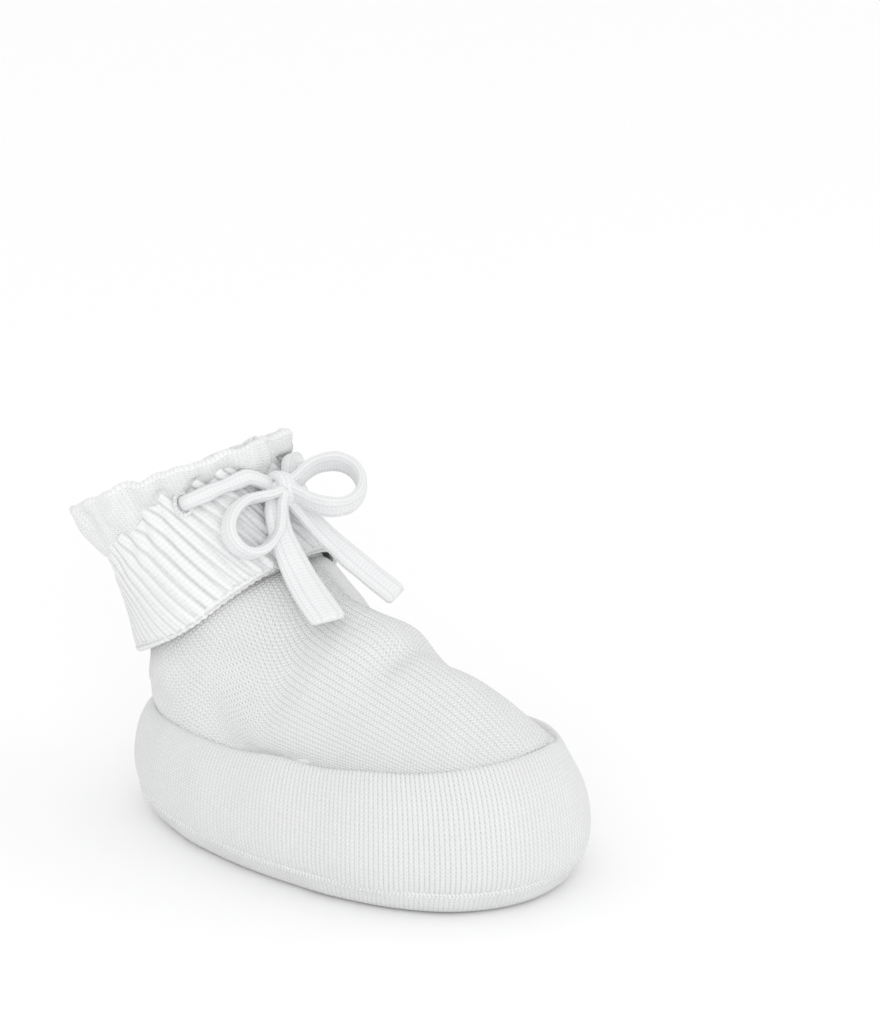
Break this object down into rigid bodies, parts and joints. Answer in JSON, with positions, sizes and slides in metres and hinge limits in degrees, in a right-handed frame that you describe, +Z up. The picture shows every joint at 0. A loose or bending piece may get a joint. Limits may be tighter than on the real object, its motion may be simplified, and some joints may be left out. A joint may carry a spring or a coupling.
{
  "type": "baby bootie",
  "caption": "Soft knitted baby bootie with a padded side band, ribbed turned-down cuff, ruffled top edge and a drawstring tied in a bow.",
  "frame": {"origin": "centre of the sole's flat underside", "axes": "+Z up, toe towards -Y, heel towards +Y, +X to the right seen from the toe"},
  "size_m": [0.0642, 0.1222, 0.0812],
  "materials": {
    "knit": "white cotton stockinette, matt",
    "lining": "white cotton jersey lining, matt",
    "wadding": "white wadding, matt",
    "rib_knit": "white ribbed cotton knit, matt",
    "seam_thread": "white cotton linking thread, matt",
    "cord_knit": "white flat knitted cotton cord, matt"
  },
  "bodies": {
    "foot": {"sole_panel": "knit", "insole_pad": "wadding", "insole_cover": "lining", "sole_seam": "seam_thread", "side_band": "knit", "band_wadding": "wadding", "band_lining": "lining", "top_seam": "seam_thread", "upper": "knit", "heel_seam": "seam_thread"},
    "ankle_cuff": {"ankle_tube": "knit", "ankle_stretch": "knit", "rib_cuff": "rib_knit", "cuff_hem": "seam_thread", "frill": "rib_knit", "eyelet_left": "seam_thread", "eyelet_right": "seam_thread", "drawstring": "cord_knit", "bow_knot": "cord_knit"},
    "loop_left": {"bow_loop_left": "cord_knit"},
    "loop_right": {"bow_loop_right": "cord_knit"},
    "tail_left": {"bow_tail_left": "cord_knit"},
    "tail_right": {"bow_tail_right": "cord_knit"}
  },
  "joints": [
    {"name": "ankle_flex", "type": "hinge", "parent": "foot", "child": "ankle_cuff", "pos_m": [0, 0.0288, 0.041], "axis": [1, 0, 0], "range_deg": [-10, 4], "stiffness_Nm_per_rad": 0.03, "deforming": ["ankle_stretch"]},
    {"name": "loop_left_flop", "type": "hinge", "parent": "ankle_cuff", "child": "loop_left", "pos_m": [0, 0.01814, 0.07317], "axis": [0, 0.5, 0.866], "range_deg": [0, 30]},
    {"name": "loop_right_flop", "type": "hinge", "parent": "ankle_cuff", "child": "loop_right", "pos_m": [0, 0.01814, 0.07317], "axis": [0, -0.5, -0.866], "range_deg": [-4, 30], "stiffness_Nm_per_rad": 0.0001},
    {"name": "tail_left_lift", "type": "hinge", "parent": "ankle_cuff", "child": "tail_left", "pos_m": [0, 0.01814, 0.07317], "axis": [-1, 0, 0], "range_deg": [0, 35]},
    {"name": "tail_right_swing", "type": "hinge", "parent": "ankle_cuff", "child": "tail_right", "pos_m": [0, 0.01814, 0.07317], "axis": [0, -0.866, 0.5], "range_deg": [-3, 6]}
  ]
}
